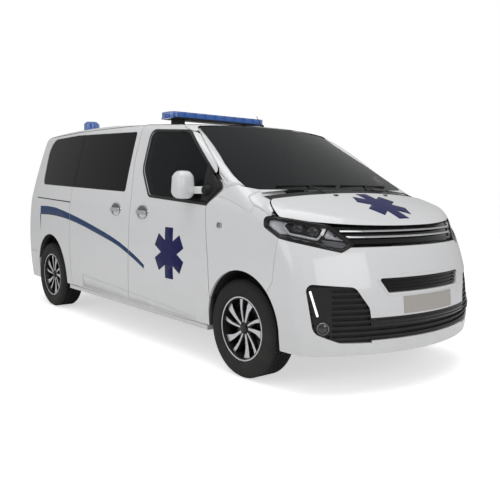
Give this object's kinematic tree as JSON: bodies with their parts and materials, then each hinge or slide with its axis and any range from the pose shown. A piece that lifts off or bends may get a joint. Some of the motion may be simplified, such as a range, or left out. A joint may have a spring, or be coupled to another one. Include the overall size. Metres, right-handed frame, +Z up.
{
  "type": "ambulance",
  "caption": "Mid-size van ambulance with sloped nose, sliding side doors, tailgate, blue light bar, roof beacons and steering, opening front doors and bonnet",
  "frame": {"origin": "on the ground below the middle of the vehicle, halfway between nose and tail", "axes": "+X forward, +Y to the left side of the vehicle, +Z up"},
  "size_m": [4.9589, 2.15, 1.9849],
  "materials": {
    "alloy": "machined",
    "black_plastic": "grained",
    "blue_lens": "clear blue",
    "cab_trim": "grained",
    "chassis_steel": "satin black",
    "dark_glass": "privacy tint",
    "engine_metal": "cast",
    "headlamp_lens": "clear lens",
    "red_lens": "clear red",
    "screen_glass": "clear",
    "seat_fabric": "woven",
    "side_glass": "lightly tinted",
    "tyre_rubber": "matt",
    "white_paint": "pearl gloss"
  },
  "bodies": {
    "vehicle": {"body_side_left": "white_paint", "body_side_right": "white_paint", "cowl_panel": "black_plastic", "dashboard": "cab_trim", "engine": "engine_metal", "exhaust": "chassis_steel", "floor_pan": "chassis_steel", "front_bumper": "white_paint", "front_fenders": "white_paint", "front_seats": "seat_fabric", "front_subframe": "chassis_steel", "fuel_tank": "chassis_steel", "headlamps": "headlamp_lens", "light_bar": "blue_lens", "light_bar_feet": "black_plastic", "lower_grille": "black_plastic", "partition": "cab_trim", "rear_axle": "chassis_steel", "rear_bumper": "white_paint", "rear_side_glass": "dark_glass", "roof_beacons": "blue_lens", "roof_panel": "white_paint", "sliding_door_handles": "white_paint", "sliding_doors": "white_paint", "steering_wheel": "cab_trim", "tail_lamps": "red_lens", "upper_grille": "black_plastic", "wheel_liners": "black_plastic", "windscreen": "screen_glass", "wipers": "black_plastic"},
    "bonnet": {"bonnet": "white_paint"},
    "tailgate": {"tailgate": "white_paint", "tailgate_glass": "dark_glass"},
    "front_door_right": {"front_door_right": "white_paint", "front_door_glass_right": "side_glass", "door_handle_right": "white_paint", "mirror_right": "white_paint"},
    "knuckle_right": {"knuckle_right": "chassis_steel"},
    "wheel_front_right": {"tyre_front_right": "tyre_rubber", "rim_front_right": "alloy"},
    "wheel_rear_right": {"tyre_rear_right": "tyre_rubber", "rim_rear_right": "alloy"},
    "front_door_left": {"front_door_left": "white_paint", "front_door_glass_left": "side_glass", "door_handle_left": "white_paint", "mirror_left": "white_paint"},
    "knuckle_left": {"knuckle_left": "chassis_steel"},
    "wheel_front_left": {"tyre_front_left": "tyre_rubber", "rim_front_left": "alloy"},
    "wheel_rear_left": {"tyre_rear_left": "tyre_rubber", "rim_rear_left": "alloy"}
  },
  "joints": [
    {"name": "front_door_right_hinge", "type": "hinge", "parent": "vehicle", "child": "front_door_right", "pos_m": [1.2765, -0.962, 0.7], "axis": [0, 0.0797, 0.9968], "range_deg": [0, 65]},
    {"name": "front_door_left_hinge", "type": "hinge", "parent": "vehicle", "child": "front_door_left", "pos_m": [1.2765, 0.962, 0.7], "axis": [0, 0.0797, -0.9968], "range_deg": [0, 65]},
    {"name": "bonnet_hinge", "type": "hinge", "parent": "vehicle", "child": "bonnet", "pos_m": [1.6165, 0, 1.252], "axis": [0, -1, 0], "range_deg": [0, 50]},
    {"name": "tailgate_hinge", "type": "hinge", "parent": "vehicle", "child": "tailgate", "pos_m": [-2.2075, 0, 1.868], "axis": [0, 1, 0], "range_deg": [0, 80]},
    {"name": "steering_left", "type": "hinge", "parent": "vehicle", "child": "knuckle_left", "pos_m": [1.5985, 0.8135, 0.34], "axis": [0, 0, 1], "range_deg": [-33, 33]},
    {"name": "steering_right", "type": "hinge", "parent": "vehicle", "child": "knuckle_right", "pos_m": [1.5985, -0.8135, 0.34], "axis": [0, 0, 1], "range_deg": [-33, 33]},
    {"name": "wheel_front_right_spin", "type": "hinge", "parent": "knuckle_right", "child": "wheel_front_right", "pos_m": [1.5985, -0.8135, 0.34], "axis": [0, 1, 0], "continuous": true},
    {"name": "wheel_rear_right_spin", "type": "hinge", "parent": "vehicle", "child": "wheel_rear_right", "pos_m": [-1.6765, -0.8, 0.34], "axis": [0, 1, 0], "continuous": true},
    {"name": "wheel_front_left_spin", "type": "hinge", "parent": "knuckle_left", "child": "wheel_front_left", "pos_m": [1.5985, 0.8135, 0.34], "axis": [0, 1, 0], "continuous": true},
    {"name": "wheel_rear_left_spin", "type": "hinge", "parent": "vehicle", "child": "wheel_rear_left", "pos_m": [-1.6765, 0.8, 0.34], "axis": [0, 1, 0], "continuous": true}
  ],
  "couplings": [
    {"joint": "steering_right", "follows": "steering_left", "ratio": 1}
  ]
}
